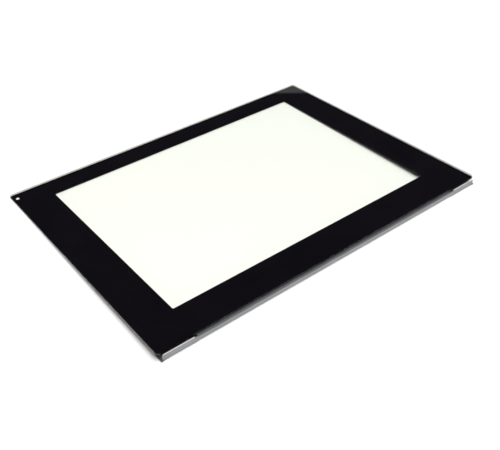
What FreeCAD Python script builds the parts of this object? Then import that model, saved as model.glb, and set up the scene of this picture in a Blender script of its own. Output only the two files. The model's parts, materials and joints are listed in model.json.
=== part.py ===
# Inner door glass of a built-in oven: a toughened pane with a fired black
# border and a bent metal strip along one long edge.
# Millimetres, +Z up. It lies as it does unheld on a level floor: on the strip
# at the front and on the glass's own edge at the back, so it leans back by
# about a degree. The origin is at the middle of the bottom of the whole
# object's box, +X runs along the long edges and the strip is on the -Y side.
import FreeCAD, Part
import os
import re
import Sketcher

NEAR = 0.01

SIZES = [
    ("pane_length", 550, "long side of the glass"),
    ("pane_width", 405, "short side of the glass"),
    ("pane_thickness", 4, "toughened glass"),
    ("pane_corner_radius", 5, "rounded corners of the glass"),
    ("arris", 0.5, "small bevel ground on both rims"),
    ("print_thickness", 0.1, "black border, fired into the underside of the glass"),
    ("print_inset", 1, "clear rim between the border and the edge of the glass"),
    ("side_margin", 55, "border between window and short edge"),
    ("back_margin", 39.5, "border between window and back long edge"),
    ("front_margin", 51.5, "border between window and the strip's edge"),
    ("window_corner_radius", 1.5, "corners of the clear window"),
    ("dot_diameter", 5, "clear sight dot left open in the border"),
    ("dot_from_end", 7.5, "dot centre from the short edge"),
    ("dot_from_back", 14, "dot centre from the back long edge"),
    ("sheet", 1, "sheet metal of the strip"),
    ("bend_radius", 0.5, "inside radius of the channel's bends"),
    ("strip_end_inset", 5, "upright wall ends short of the glass at each end"),
    ("base_end_inset", 2.8, "foot of the strip ends short of the glass at each end"),
    ("strip_height", 7.4, "from the floor to the bonding flange's top"),
    ("bond_flange_width", 12, "flange glued under the border"),
    ("base_flange_width", 12, "flange lying on the floor"),
    ("web_gap", 2, "gap between the glass edge and the upright wall"),
    ("tab_length", 44, "raised end of the wall"),
    ("tab_below_glass", 2.5, "tab top below the top of the glass"),
    ("tab_corner_radius", 2.5, "outer top corner of each tab"),
    ("relief", 4.5, "from the tab to the start of the channel"),
    ("foot_length", 7, "pointed toe along the strip"),
    ("foot_reach", 0.8, "toe tip beyond the upright wall"),
    ("foot_tip", 0.8, "flat left on the tip of the toe"),
]

document = FreeCAD.newDocument("oven_door_glass")
sizes = document.addObject("Spreadsheet::Sheet", "Sizes")
for row, (alias, value, note) in enumerate(SIZES, start=1):
    sizes.set(f"A{row}", alias)
    sizes.set(f"B{row}", str(value))
    sizes.set(f"C{row}", note)
    sizes.setAlias(f"B{row}", alias)
document.recompute()


def size_of(expression):
    """The number that a formula of sheet names comes to."""
    result = sizes.evalExpression(expression)
    return float(getattr(result, "Value", result))


def on_sheet(formula):
    """The same formula as the other objects write it, with the sheet's name."""
    for alias, value, note in SIZES:
        formula = re.sub(rf"\b{alias}\b", f"<<Sizes>>.{alias}", formula)
    return formula


def new_body(label):
    body = document.addObject("PartDesign::Body", label)
    body.Label = label
    return body


def new_sketch(body, role, name):
    """An empty sketch on one of the body's own origin planes."""
    sketch = body.newObject("Sketcher::SketchObject", name)
    plane = next(item for item in body.Origin.OriginFeatures if item.Role == role)
    sketch.AttachmentSupport = [(plane, "")]
    sketch.MapMode = "FlatFace"
    return sketch


def bind(sketch, constraint, name, formula):
    index = sketch.addConstraint(constraint)
    sketch.renameConstraint(index, name)
    sketch.setExpression(f"Constraints.{name}", on_sheet(formula))


def draw_outline(sketch, name, corners):
    """A closed outline whose every corner follows two formulas of the sheet."""
    points = [FreeCAD.Vector(size_of(across), size_of(up), 0) for across, up in corners]
    count = len(points)
    first = sketch.GeometryCount
    for index, point in enumerate(points):
        following = points[(index + 1) % count]
        sketch.addGeometry(Part.LineSegment(point, following), False)
    for index in range(count):
        line = first + index
        following = first + (index + 1) % count
        sketch.addConstraint(Sketcher.Constraint("Coincident", line, 2, following, 1))
    for index, (across, up) in enumerate(corners):
        line = first + index
        point = points[index]
        across_rule = Sketcher.Constraint("DistanceX", -1, 1, line, 1, point.x)
        bind(sketch, across_rule, f"{name}_across_{index}", across)
        up_rule = Sketcher.Constraint("DistanceY", -1, 1, line, 1, point.y)
        bind(sketch, up_rule, f"{name}_up_{index}", up)


def pad(body, sketch, name, formula, midplane=False):
    feature = body.newObject("PartDesign::Pad", name)
    feature.Profile = sketch
    feature.Midplane = midplane
    feature.setExpression("Length", on_sheet(formula))
    sketch.Visibility = False
    document.recompute()
    return feature


def edges_where(feature, wanted):
    """Names of the edges whose two ends both pass the test."""
    names = []
    for index, edge in enumerate(feature.Shape.Edges, start=1):
        if len(edge.Vertexes) == 2 and wanted(edge.Vertexes[0].Point, edge.Vertexes[1].Point):
            names.append(f"Edge{index}")
    return names


def dress(body, kind, base, name, edges, property_name, formula):
    """A fillet or a chamfer on the named edges of the feature before it."""
    feature = body.newObject(f"PartDesign::{kind}", name)
    feature.Base = (base, edges)
    feature.setExpression(property_name, on_sheet(formula))
    document.recompute()
    return feature


def upright(start, end):
    return abs(start.x - end.x) < NEAR and abs(start.y - end.y) < NEAR


def level_at(height, start, end):
    return abs(start.z - height) < NEAR and abs(end.z - height) < NEAR


# The toughened pane: its own origin is at the middle of its underside.
pane = new_body("glass_pane")
pane_sketch = new_sketch(pane, "XY_Plane", "PaneOutline")
draw_outline(pane_sketch, "pane", [
    ("-pane_length / 2", "-pane_width / 2"),
    ("pane_length / 2", "-pane_width / 2"),
    ("pane_length / 2", "pane_width / 2"),
    ("-pane_length / 2", "pane_width / 2"),
])
pane_plate = pad(pane, pane_sketch, "PanePlate", "pane_thickness")
pane_round = dress(
    pane, "Fillet", pane_plate, "PaneCorners",
    edges_where(pane_plate, upright), "Radius", "pane_corner_radius",
)
pane_rims = edges_where(pane_round, lambda start, end: not upright(start, end))
dress(pane, "Chamfer", pane_round, "PaneArris", pane_rims, "Size", "arris")


def border_blank(body):
    """The black border's solid: a thin frame with its window, dot and rounded corners."""
    sketch = new_sketch(body, "XY_Plane", "BorderOutline")
    draw_outline(sketch, "rim", [
        ("-pane_length / 2 + print_inset", "-pane_width / 2 + print_inset"),
        ("pane_length / 2 - print_inset", "-pane_width / 2 + print_inset"),
        ("pane_length / 2 - print_inset", "pane_width / 2 - print_inset"),
        ("-pane_length / 2 + print_inset", "pane_width / 2 - print_inset"),
    ])
    draw_outline(sketch, "window", [
        ("-pane_length / 2 + side_margin", "-pane_width / 2 + front_margin"),
        ("pane_length / 2 - side_margin", "-pane_width / 2 + front_margin"),
        ("pane_length / 2 - side_margin", "pane_width / 2 - back_margin"),
        ("-pane_length / 2 + side_margin", "pane_width / 2 - back_margin"),
    ])
    across = "-pane_length / 2 + dot_from_end"
    up = "pane_width / 2 - dot_from_back"
    centre = FreeCAD.Vector(size_of(across), size_of(up), 0)
    radius = size_of("dot_diameter / 2")
    dot = sketch.addGeometry(Part.Circle(centre, FreeCAD.Vector(0, 0, 1), radius), False)
    bind(sketch, Sketcher.Constraint("DistanceX", -1, 1, dot, 3, centre.x), "dot_across", across)
    bind(sketch, Sketcher.Constraint("DistanceY", -1, 1, dot, 3, centre.y), "dot_up", up)
    bind(sketch, Sketcher.Constraint("Diameter", dot, 2 * radius), "dot_size", "dot_diameter")
    plate = pad(body, sketch, "BorderPlate", "print_thickness")

    def at_outer_corner(start, end):
        return upright(start, end) and abs(abs(start.x) - size_of("pane_length / 2 - print_inset")) < NEAR

    def at_window_corner(start, end):
        return upright(start, end) and abs(abs(start.x) - size_of("pane_length / 2 - side_margin")) < NEAR

    rounded = dress(
        body, "Fillet", plate, "BorderCorners",
        edges_where(plate, at_outer_corner), "Radius", "pane_corner_radius - print_inset",
    )
    dress(
        body, "Fillet", rounded, "WindowCorners",
        edges_where(rounded, at_window_corner), "Radius", "window_corner_radius",
    )


# The fired black border fills a shallow bed of its own shape in the underside
# of the glass, so the two are flush.
border = new_body("black_border")
border_blank(border)
bed = document.addObject("PartDesign::Body", "BorderBed")
border_blank(bed)
bed_cut = pane.newObject("PartDesign::Boolean", "BedCut")
bed_cut.addObjects([bed])
bed_cut.Type = "Cut"
document.recompute()

# The metal strip: its own origin is on its underside, below the inner face of
# its upright wall. Most of its length is a channel, open towards the glass:
# its upper flange is glued under the border, its lower one lies on the floor.
# At both ends the wall is a flat plate that rises into a tab beside the glass
# and stands on a foot with a pointed toe.
strip = new_body("edge_strip")
wall_end = "(pane_length / 2 - strip_end_inset)"
foot_end = "(pane_length / 2 - base_end_inset)"
tab_inner = f"({wall_end} - tab_length)"
tab_top = "(strip_height + pane_thickness - tab_below_glass)"
channel_end = f"({tab_inner} - relief)"

channel_sketch = new_sketch(strip, "YZ_Plane", "ChannelSection")
draw_outline(channel_sketch, "channel", [
    ("-sheet", "0"),
    ("base_flange_width", "0"),
    ("base_flange_width", "sheet"),
    ("0", "sheet"),
    ("0", "strip_height - sheet"),
    ("bond_flange_width", "strip_height - sheet"),
    ("bond_flange_width", "strip_height"),
    ("-sheet", "strip_height"),
])
channel = pad(strip, channel_sketch, "Channel", f"2 * {channel_end}", midplane=True)


def outer_bend(start, end):
    along = abs(start.y + size_of("sheet")) < NEAR and abs(end.y + size_of("sheet")) < NEAR
    return along and (level_at(0, start, end) or level_at(size_of("strip_height"), start, end))


def inner_bend(start, end):
    along = abs(start.y) < NEAR and abs(end.y) < NEAR
    low = level_at(size_of("sheet"), start, end)
    return along and (low or level_at(size_of("strip_height - sheet"), start, end))


outer_bends = dress(
    strip, "Fillet", channel, "OuterBends",
    edges_where(channel, outer_bend), "Radius", "bend_radius + sheet",
)
dress(
    strip, "Fillet", outer_bends, "InnerBends",
    edges_where(outer_bends, inner_bend), "Radius", "bend_radius",
)

# The flat end plates, one for each side, and the feet that they stand on.
plates_sketch = new_sketch(strip, "XZ_Plane", "EndPlates")
feet_sketch = new_sketch(strip, "XY_Plane", "FeetOutline")
for name, side in (("left", "-1"), ("right", "1")):
    draw_outline(plates_sketch, name, [
        (f"{side} * {channel_end}", "0"),
        (f"{side} * {wall_end}", "0"),
        (f"{side} * {wall_end}", tab_top),
        (f"{side} * {tab_inner}", tab_top),
        (f"{side} * {tab_inner}", "strip_height"),
        (f"{side} * {channel_end}", "strip_height"),
    ])
    draw_outline(feet_sketch, name, [
        (f"{side} * {channel_end}", "base_flange_width"),
        (f"{side} * {foot_end}", "base_flange_width"),
        (f"{side} * {foot_end}", "-sheet - foot_reach"),
        (f"{side} * ({foot_end} - foot_tip)", "-sheet - foot_reach"),
        (f"{side} * ({foot_end} - foot_length)", "-sheet"),
        (f"{side} * {channel_end}", "-sheet"),
    ])
plates = pad(strip, plates_sketch, "EndPlatesPad", "sheet")


def tab_corner(start, end):
    through = abs(start.y - end.y) > NEAR and abs(start.x - end.x) < NEAR
    outermost = abs(abs(start.x) - size_of(wall_end)) < NEAR
    return through and outermost and level_at(size_of(tab_top), start, end)


dress(
    strip, "Fillet", plates, "TabCorners",
    edges_where(plates, tab_corner), "Radius", "tab_corner_radius",
)
pad(strip, feet_sketch, "Feet", "sheet")

# How it lies. Two lines touch the floor: the back rim of the strip's base
# flange and the back lower rim of the glass. Lengths below start at the first.
pane_front = "(web_gap - base_flange_width)"
back_rim = f"({pane_front} + pane_width - arris)"
lean = f"atan(strip_height / {back_rim})"
foot_front = "(base_flange_width + sheet + foot_reach)"
glass_back = f"({pane_front} + pane_width) * cos({lean})"
glass_rise = f"(strip_height + pane_thickness - arris) * sin({lean})"
centring = f"({foot_front} * cos({lean}) - {glass_back} - {glass_rise}) / 2"


def lay_down(body, across, up):
    """Lean the body back and set it where it lies, from its place on the level strip."""
    turned = f"rotation(vector(1; 0; 0); -{lean})"
    corner = f"vector(0; {centring}; 0) + {turned} * vector(0; {across}; {up})"
    formula = f"placement({corner}; {turned})"
    body.setExpression("Placement", on_sheet(formula))


lay_down(pane, f"{pane_front} + pane_width / 2", "strip_height")
lay_down(border, f"{pane_front} + pane_width / 2", "strip_height")
lay_down(strip, "-base_flange_width", "0")
document.recompute()

for item in document.Objects:
    if "Invalid" in item.State or "Error" in item.State:
        raise RuntimeError(f"{item.Name} is not sound: {item.State}")

os.makedirs("parts", exist_ok=True)
for body in (pane, border, strip):
    if body.Shape.isNull() or not body.Shape.isValid():
        raise RuntimeError(f"{body.Label} has no sound shape")
    body.Shape.exportStep(f"parts/{body.Label}.step")
    box = body.Shape.optimalBoundingBox()
    print(
        f"{body.Label}: {box.XLength:.2f} x {box.YLength:.2f} x {box.ZLength:.2f} mm,"
        f" y {box.YMin:.2f} to {box.YMax:.2f}, z {box.ZMin:.3f} to {box.ZMax:.3f},"
        f" volume {body.Shape.Volume:.0f} mm3, solids {len(body.Shape.Solids)}"
    )
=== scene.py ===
# %% [markdown]
# The inner glass of an oven door is three pieces in one: a toughened pane, a
# black border fired onto its underside, and a bent metal strip along one long
# edge. Their shapes come finished from the CAD model. This lesson sets up a
# camera and a small studio, then builds a finish for each piece.

# %% Load the model
import bpy
import json
import math
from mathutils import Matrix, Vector


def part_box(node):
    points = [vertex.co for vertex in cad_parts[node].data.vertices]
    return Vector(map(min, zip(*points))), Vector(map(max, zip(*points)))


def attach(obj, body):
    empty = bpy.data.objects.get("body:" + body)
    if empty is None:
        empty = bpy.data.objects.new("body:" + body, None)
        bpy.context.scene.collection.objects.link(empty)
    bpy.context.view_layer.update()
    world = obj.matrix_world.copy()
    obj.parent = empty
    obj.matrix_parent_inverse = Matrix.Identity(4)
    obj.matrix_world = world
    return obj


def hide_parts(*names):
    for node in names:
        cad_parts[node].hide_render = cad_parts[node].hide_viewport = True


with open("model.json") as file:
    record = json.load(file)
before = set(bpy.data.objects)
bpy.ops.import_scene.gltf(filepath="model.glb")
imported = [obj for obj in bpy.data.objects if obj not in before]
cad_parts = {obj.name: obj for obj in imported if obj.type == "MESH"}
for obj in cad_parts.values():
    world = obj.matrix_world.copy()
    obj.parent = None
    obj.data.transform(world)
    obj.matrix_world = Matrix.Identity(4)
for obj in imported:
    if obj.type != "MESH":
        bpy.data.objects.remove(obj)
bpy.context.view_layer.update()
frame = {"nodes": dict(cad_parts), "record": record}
pane = frame["nodes"]["glass_pane"]
border = frame["nodes"]["black_border"]
strip = frame["nodes"]["edge_strip"]
print("pieces:", sorted(frame["nodes"]))

# %% [markdown]
# A camera is an object with a lens. A photograph's perspective tells where its
# camera stood: edges that run towards each other fix the lens, and the corners
# fix the place. A lens of about 50 mm on a sensor 36 mm wide is a normal view,
# without the stretch of a wide one.

# %% Place the camera
SENSOR_WIDTH = 36.0
LENS_LENGTH = 51.12
CAMERA_PLACE = (-0.5128, -0.6856, 0.6019)
CAMERA_TURN = (52.097, 1.032, -38.225)
scene = bpy.context.scene
lens = bpy.data.cameras.new("studio_camera")
lens.sensor_width = SENSOR_WIDTH
lens.lens = LENS_LENGTH
camera = bpy.data.objects.new("studio_camera", lens)
scene.collection.objects.link(camera)
camera.location = CAMERA_PLACE
camera.rotation_euler = [math.radians(angle) for angle in CAMERA_TURN]
scene.camera = camera
print("camera stands", round(camera.location.length, 3), "m from the part")

# %% [markdown]
# A material in Blender is a small tree of nodes. The first helpers start an
# empty tree, add a node with its settings, and join two nodes.

# %% Helpers for trees of nodes
def new_material(name):
    material = bpy.data.materials.new(name)
    material.use_nodes = True
    tree = material.node_tree
    tree.nodes.clear()
    output = tree.nodes.new("ShaderNodeOutputMaterial")
    return material, tree, output


def add_node(tree, kind, **settings):
    node = tree.nodes.new(kind)
    for name, value in settings.items():
        setattr(node, name, value)
    return node


def join(tree, source, target):
    tree.links.new(source, target)


print("helpers for trees ready")

# %% [markdown]
# A real surface is seldom one flat value: it is a little cloudy or grainy. So
# the next helpers spread values from one range to another, make soft noise and
# blend two colours. The last one puts a finish on a piece. Noise seldom strays
# far from its middle, so a finish picks a range round one half to spread. A Mix
# node has sockets for numbers and shapes too, so its colours go by position.

# %% Helpers for finishes
CLOUD_RANGE = {"start": 0.35, "end": 0.65}
GRAIN_RANGE = {"start": 0.3, "end": 0.7}
FIRST_COLOUR = 6
MIXED_COLOUR = 2


def spread(tree, source, low, high, start=0.0, end=1.0):
    """The source's values, taken from start..end to low..high."""
    node = add_node(tree, "ShaderNodeMapRange")
    node.inputs["From Min"].default_value = start
    node.inputs["From Max"].default_value = end
    node.inputs["To Min"].default_value = low
    node.inputs["To Max"].default_value = high
    join(tree, source, node.inputs["Value"])
    return node.outputs["Result"]


def pattern(tree, scale, stretch=(1, 1, 1), detail=2.0):
    """Soft noise in the object's own coordinates, stretched along an axis."""
    place = add_node(tree, "ShaderNodeTexCoord")
    shape = add_node(tree, "ShaderNodeMapping")
    shape.inputs["Scale"].default_value = stretch
    noise = add_node(tree, "ShaderNodeTexNoise")
    noise.inputs["Scale"].default_value = scale
    noise.inputs["Detail"].default_value = detail
    join(tree, place.outputs["Object"], shape.inputs["Vector"])
    join(tree, shape.outputs["Vector"], noise.inputs["Vector"])
    return noise.outputs[0]


def blend_colours(tree, share, first, second):
    """A colour between two, each a socket or three numbers, by a share from 0 to 1."""
    node = add_node(tree, "ShaderNodeMix", data_type="RGBA")
    join(tree, share, node.inputs[0])
    for socket, colour in zip(node.inputs[FIRST_COLOUR:], (first, second)):
        if isinstance(colour, tuple):
            socket.default_value = (*colour, 1)
        else:
            join(tree, colour, socket)
    return node.outputs[MIXED_COLOUR]


def wear(piece, material):
    """Every material slot of a CAD piece takes the same finish."""
    for slot in piece.material_slots:
        slot.material = material


print("helpers for finishes ready")

# %% [markdown]
# The floor is a large white sheet. It is a stage, not a part of the glass. It is
# plain matte white, and it keeps the part's shadow.

# %% Lay the floor
FLOOR_HALF = 6.0
FLOOR_WHITE = (0.97, 0.97, 0.97, 1)
floor_mesh = bpy.data.meshes.new("floor")
corners = [(-FLOOR_HALF, -FLOOR_HALF, 0), (FLOOR_HALF, -FLOOR_HALF, 0),
           (FLOOR_HALF, FLOOR_HALF, 0), (-FLOOR_HALF, FLOOR_HALF, 0)]
floor_mesh.from_pydata(corners, [], [(0, 1, 2, 3)])
floor = bpy.data.objects.new("floor", floor_mesh)
scene.collection.objects.link(floor)

floor_finish, tree, output = new_material("white_table")
matte = add_node(tree, "ShaderNodeBsdfDiffuse")
matte.inputs["Color"].default_value = FLOOR_WHITE
join(tree, matte.outputs[0], output.inputs["Surface"])
floor_mesh.materials.append(floor_finish)
print("floor:", 2 * FLOOR_HALF, "m square")

# %% [markdown]
# The room around the part is the world. It has three uses, with a background
# for each. Seen directly, or through the glass, it is white like the floor. In
# a mirror it is a dark studio above a pale band near the horizon: black glass
# shows whatever stands opposite it, so the room decides how deep the border
# looks. As a light it is weak, which keeps the shadow under the border deep.

# %% Paint the room's three backgrounds
BAND_TOP = 25.83
BAND_FADE = 0.16
BAND_GLOW = 0.45
STUDIO_GLOW = 0.024
ROOM_LIGHT = 0.05
world = bpy.data.worlds.new("studio")
scene.world = world
world.use_nodes = True
tree = world.node_tree
tree.nodes.clear()


def glow(strength=1.0):
    """A plain white background of one strength."""
    node = add_node(tree, "ShaderNodeBackground")
    node.inputs["Color"].default_value = (1, 1, 1, 1)
    node.inputs["Strength"].default_value = strength
    return node


output = add_node(tree, "ShaderNodeOutputWorld")
direction = add_node(tree, "ShaderNodeTexCoord")
axes = add_node(tree, "ShaderNodeSeparateXYZ")
join(tree, direction.outputs["Generated"], axes.inputs[0])
band_start = math.sin(math.radians(BAND_TOP - BAND_FADE))
band_end = math.sin(math.radians(BAND_TOP))
band = spread(tree, axes.outputs["Z"], BAND_GLOW, STUDIO_GLOW, band_start, band_end)
mirrored = glow()
join(tree, band, mirrored.inputs["Strength"])
ambient = glow(ROOM_LIGHT)
white = glow()
print("room: pale below", BAND_TOP, "degrees")

# %% [markdown]
# A Light Path node says what kind of ray is asking, and how often it has
# bounced off a mirror or a matte surface. A ray from the camera or out of the
# glass sees the white, as long as it hasn't met a matte surface. One that has
# met a mirror sees the studio. All others take the weak light. Bounces are
# whole numbers, so half a bounce tells none from one.

# %% Choose what each ray sees
HALF_A_BOUNCE = 0.5
rays = add_node(tree, "ShaderNodeLightPath")


def combine(operation, first, second):
    """What the operation makes of two values, each a socket or a number."""
    node = add_node(tree, "ShaderNodeMath", operation=operation)
    for socket, value in zip(node.inputs, (first, second)):
        if isinstance(value, float):
            socket.default_value = value
        else:
            join(tree, value, socket)
    return node.outputs[0]


def choose(share, otherwise, chosen):
    """The second background where the share is 1, else the first."""
    node = add_node(tree, "ShaderNodeMixShader")
    for socket, source in zip(node.inputs, (share, otherwise, chosen)):
        join(tree, source, socket)
    return node.outputs[0]


camera_ray = rays.outputs["Is Camera Ray"]
glass_ray = rays.outputs["Is Transmission Ray"]
in_view = combine("MAXIMUM", camera_ray, glass_ray)
not_matte = combine("LESS_THAN", rays.outputs["Diffuse Depth"], HALF_A_BOUNCE)
seen = combine("MULTIPLY", in_view, not_matte)
in_mirror = combine("GREATER_THAN", rays.outputs["Glossy Depth"], HALF_A_BOUNCE)
seen_or_weak = choose(seen, ambient.outputs[0], white.outputs[0])
room = choose(in_mirror, seen_or_weak, mirrored.outputs[0])
join(tree, room, output.inputs["Surface"])
print("world:", len(tree.nodes), "nodes")

# %% [markdown]
# One wide soft light hangs overhead, a little to the right and to the front.
# A sun lamp with a large angle acts as an endless softbox: it lights the floor
# evenly from edge to edge, and the shadows under the raised side of the part
# get a broad soft rim. Only its direction counts, so its height is free.
#
# The glass's own shader lets this light through, so the lamp is hidden from
# rays that bend through glass: it would be counted twice. It is hidden from
# mirrors too, which see only the room. Multiple importance sampling is off, so
# that no ray picks up the lamp by chance after it has been counted.

# %% Hang the light
LIGHT_STRENGTH = 3.6
LIGHT_WIDTH = 74.0
LIGHT_HEIGHT = 2.0
LIGHT_FROM = Vector((0.22, -0.18, 1.0))
lamp = bpy.data.lights.new("overhead_softlight", "SUN")
lamp.energy = LIGHT_STRENGTH
lamp.angle = math.radians(LIGHT_WIDTH)
lamp.cycles.use_multiple_importance_sampling = False
holder = bpy.data.objects.new("overhead_softlight", lamp)
scene.collection.objects.link(holder)
holder.location = LIGHT_FROM * LIGHT_HEIGHT
holder.rotation_euler = (-LIGHT_FROM).to_track_quat("-Z", "Y").to_euler()
holder.visible_transmission = False
holder.visible_glossy = False
print("light:", LIGHT_WIDTH, "degrees wide")

# %% [markdown]
# Clear float glass bends light, mirrors a little of it, and is faintly green
# through its depth: iron in the melt. The tint belongs to the volume, so thin
# glass is clear and the long way in from an edge is green. The rims are ground
# after cutting, so they are a little frosted and warmer. A mask finds them by
# how level the surface is. Light from the lamp passes straight through, as a
# thin flat pane lets it.

# %% Finish the glass
GLASS_IOR = 1.52
DEPTH_COLOUR = (0.80, 0.93, 0.58, 1)
DEPTH_DENSITY = 14.0
SHADOW_COLOUR = (0.99, 0.995, 0.975, 1)
CLEAR = (1, 1, 1)
RIM_COLOUR = (0.84, 0.86, 0.62)
RIM_RANGE = {"start": 0.85, "end": 0.97}


def clear_glass():
    material, tree, output = new_material("clear_float_glass")
    place = add_node(tree, "ShaderNodeTexCoord")
    facing = add_node(tree, "ShaderNodeSeparateXYZ")
    level = add_node(tree, "ShaderNodeMath", operation="ABSOLUTE")
    join(tree, place.outputs["Normal"], facing.inputs[0])
    join(tree, facing.outputs["Z"], level.inputs[0])
    rim = spread(tree, level.outputs[0], low=1.0, high=0.0, **RIM_RANGE)
    colour = blend_colours(tree, rim, CLEAR, RIM_COLOUR)

    grinding = pattern(tree, scale=1500.0, detail=3.0)
    frosting = spread(tree, grinding, low=0.10, high=0.22, **GRAIN_RANGE)
    roughness = add_node(tree, "ShaderNodeMath", operation="MULTIPLY")
    join(tree, rim, roughness.inputs[0])
    join(tree, frosting, roughness.inputs[1])

    body = add_node(tree, "ShaderNodeBsdfPrincipled")
    body.inputs["IOR"].default_value = GLASS_IOR
    body.inputs["Transmission Weight"].default_value = 1.0
    join(tree, colour, body.inputs["Base Color"])
    join(tree, roughness.outputs[0], body.inputs["Roughness"])

    passing = add_node(tree, "ShaderNodeBsdfTransparent")
    passing.inputs["Color"].default_value = SHADOW_COLOUR
    ray = add_node(tree, "ShaderNodeLightPath")
    body_or_passing = add_node(tree, "ShaderNodeMixShader")
    join(tree, ray.outputs["Is Shadow Ray"], body_or_passing.inputs[0])
    join(tree, body.outputs[0], body_or_passing.inputs[1])
    join(tree, passing.outputs[0], body_or_passing.inputs[2])
    join(tree, body_or_passing.outputs[0], output.inputs["Surface"])

    tint = add_node(tree, "ShaderNodeVolumeAbsorption")
    tint.inputs["Color"].default_value = DEPTH_COLOUR
    tint.inputs["Density"].default_value = DEPTH_DENSITY
    join(tree, tint.outputs[0], output.inputs["Volume"])
    return material


wear(pane, clear_glass())
print("glass:", pane.material_slots[0].material.name)

# %% [markdown]
# The border is black ceramic colour, fired on until it fuses with the glass.
# Seen through the glass it is an even deep black without a surface of its own.
# Its free face below is matte, with the fine tooth of a screen print. So the
# piece gets two finishes, one for each face.

# %% Mix the border's two finishes
DEEP_BLACKS = [(0.0032, 0.0026, 0.0047), (0.0046, 0.0037, 0.0063)]
MATTE_BLACKS = [(0.007, 0.007, 0.008), (0.013, 0.013, 0.014)]
FUSED_GLOSS = 0.03
TOOTH_STRENGTH = 0.25
TOOTH_HEIGHT = 0.00003


def print_through_glass():
    material, tree, output = new_material("black_print_through_glass")
    body = add_node(tree, "ShaderNodeBsdfPrincipled")
    body.inputs["Specular IOR Level"].default_value = FUSED_GLOSS
    cloud = pattern(tree, scale=14.0, detail=4.0)
    shade = spread(tree, cloud, low=0.0, high=1.0, **CLOUD_RANGE)
    colour = blend_colours(tree, shade, *DEEP_BLACKS)
    speckle = pattern(tree, scale=2500.0)
    roughness = spread(tree, speckle, low=0.45, high=0.60)
    join(tree, colour, body.inputs["Base Color"])
    join(tree, roughness, body.inputs["Roughness"])
    join(tree, body.outputs[0], output.inputs["Surface"])
    return material


def print_free_face():
    material, tree, output = new_material("black_print_free_face")
    body = add_node(tree, "ShaderNodeBsdfPrincipled")
    tooth = pattern(tree, scale=1800.0, detail=3.0)
    cloud = pattern(tree, scale=22.0, detail=3.0)
    colour = blend_colours(tree, cloud, *MATTE_BLACKS)
    roughness = spread(tree, tooth, low=0.42, high=0.58)
    relief = add_node(tree, "ShaderNodeBump")
    relief.inputs["Strength"].default_value = TOOTH_STRENGTH
    relief.inputs["Distance"].default_value = TOOTH_HEIGHT
    join(tree, colour, body.inputs["Base Color"])
    join(tree, roughness, body.inputs["Roughness"])
    join(tree, tooth, relief.inputs["Height"])
    join(tree, relief.outputs["Normal"], body.inputs["Normal"])
    join(tree, body.outputs[0], output.inputs["Surface"])
    return material


border_finishes = [print_through_glass(), print_free_face()]
print("border finishes:", [finish.name for finish in border_finishes])

# %% [markdown]
# The CAD border fills its bed exactly. Where two faces lie at one place, a
# renderer can't tell which comes first, so this piece is a copy whose top is a
# hair deeper in the glass, and it stands for the CAD one. The pane leans a
# little, so up means square to the glass. Each face takes its finish by the
# side it looks to.

# %% Set the fired border in its bed
FUSED_DEPTH = 0.00005
LOOKS_UP = 0.5
mounts = {mount["name"]: mount for mount in frame["record"]["mounts"]}
glass_up = Vector(mounts["glass_face"]["axis"])
fired = bpy.data.objects.new("fired_border", border.data.copy())
scene.collection.objects.link(fired)
lowest = min(point.co.dot(glass_up) for point in fired.data.vertices)
for point in fired.data.vertices:
    if point.co.dot(glass_up) - lowest > FUSED_DEPTH:
        point.co += glass_up * FUSED_DEPTH
fired.data.materials.clear()
for finish in border_finishes:
    fired.data.materials.append(finish)
for face in fired.data.polygons:
    face.material_index = 0 if face.normal.dot(glass_up) > LOOKS_UP else 1
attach(fired, "root")
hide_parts("black_border")
print("border:", len(fired.data.vertices), "points,", len(fired.data.materials), "finishes")
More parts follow.
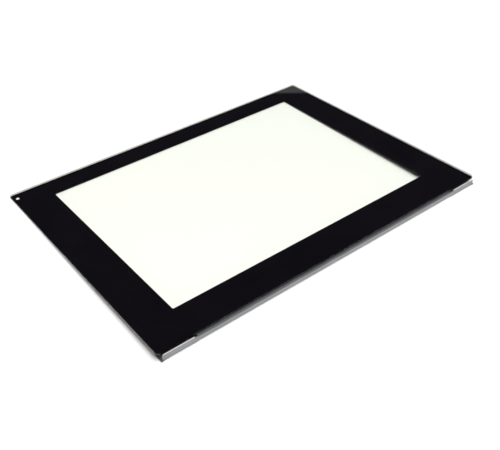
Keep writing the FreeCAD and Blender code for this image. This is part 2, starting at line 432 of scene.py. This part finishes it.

# %% [markdown]
# The strip is satin sheet steel. Rolling leaves a fine grain along its length,
# and handling leaves faint clouds. Its skin has a matte share, which lights the
# bend, so it isn't set as a full metal. The sheared top edge of each tab is
# rough, so it gets a rougher finish with more of that matte share. Its paler
# colour is partly the bare cut edge and partly a painted highlight: the bright
# line where the edge catches the light. Its height finds it, because nothing
# else of the strip reaches so high.

# %% Finish the strip
SATIN_GREYS = [(0.268, 0.273, 0.285), (0.308, 0.312, 0.322)]
SATIN_METAL = 0.64
GRAIN_STRENGTH = 0.3
GRAIN_HEIGHT = 0.00002
SHEARED_DEPTH = 0.0006
# Pale edge colour: partly the bare cut steel, partly a painted highlight.
SHEARED_EDGE_AND_HIGHLIGHT_COLOUR = (0.74, 0.73, 0.71)
SHEARED_METAL = 0.1
SHEARED_ROUGHNESS = 0.65
tab_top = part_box("edge_strip")[1][2]
SHEARED_RANGE = {"start": tab_top - SHEARED_DEPTH, "end": tab_top - SHEARED_DEPTH / 2}


def satin_steel():
    material, tree, output = new_material("satin_sheet_steel")
    place = add_node(tree, "ShaderNodeTexCoord")
    heights = add_node(tree, "ShaderNodeSeparateXYZ")
    join(tree, place.outputs["Object"], heights.inputs[0])
    sheared = spread(tree, heights.outputs["Z"], low=0.0, high=1.0, **SHEARED_RANGE)

    grain = pattern(tree, scale=900.0, stretch=(0.02, 1, 1), detail=4.0)
    cloud = pattern(tree, scale=35.0, detail=3.0)
    shade = spread(tree, cloud, low=0.0, high=1.0, **CLOUD_RANGE)
    satin = blend_colours(tree, shade, *SATIN_GREYS)
    # On the sheared edge the colour turns pale: bare cut steel plus a painted highlight.
    colour = blend_colours(tree, sheared, satin, SHEARED_EDGE_AND_HIGHLIGHT_COLOUR)

    satin_roughness = spread(tree, grain, low=0.28, high=0.44, **GRAIN_RANGE)
    sheared_roughness = spread(tree, sheared, low=0.0, high=SHEARED_ROUGHNESS)
    roughness = add_node(tree, "ShaderNodeMath", operation="MAXIMUM")
    join(tree, satin_roughness, roughness.inputs[0])
    join(tree, sheared_roughness, roughness.inputs[1])

    relief = add_node(tree, "ShaderNodeBump")
    relief.inputs["Strength"].default_value = GRAIN_STRENGTH
    relief.inputs["Distance"].default_value = GRAIN_HEIGHT
    metal = spread(tree, sheared, low=SATIN_METAL, high=SHEARED_METAL)
    body = add_node(tree, "ShaderNodeBsdfPrincipled")
    join(tree, metal, body.inputs["Metallic"])
    join(tree, grain, relief.inputs["Height"])
    join(tree, relief.outputs["Normal"], body.inputs["Normal"])
    join(tree, colour, body.inputs["Base Color"])
    join(tree, roughness.outputs[0], body.inputs["Roughness"])
    join(tree, body.outputs[0], output.inputs["Surface"])
    return material


wear(strip, satin_steel())
print("strip:", strip.material_slots[0].material.name)

# %% [markdown]
# Colours are shown plainly: no film look is laid over them.

# %% Finish the scene
scene.view_settings.view_transform = "Standard"
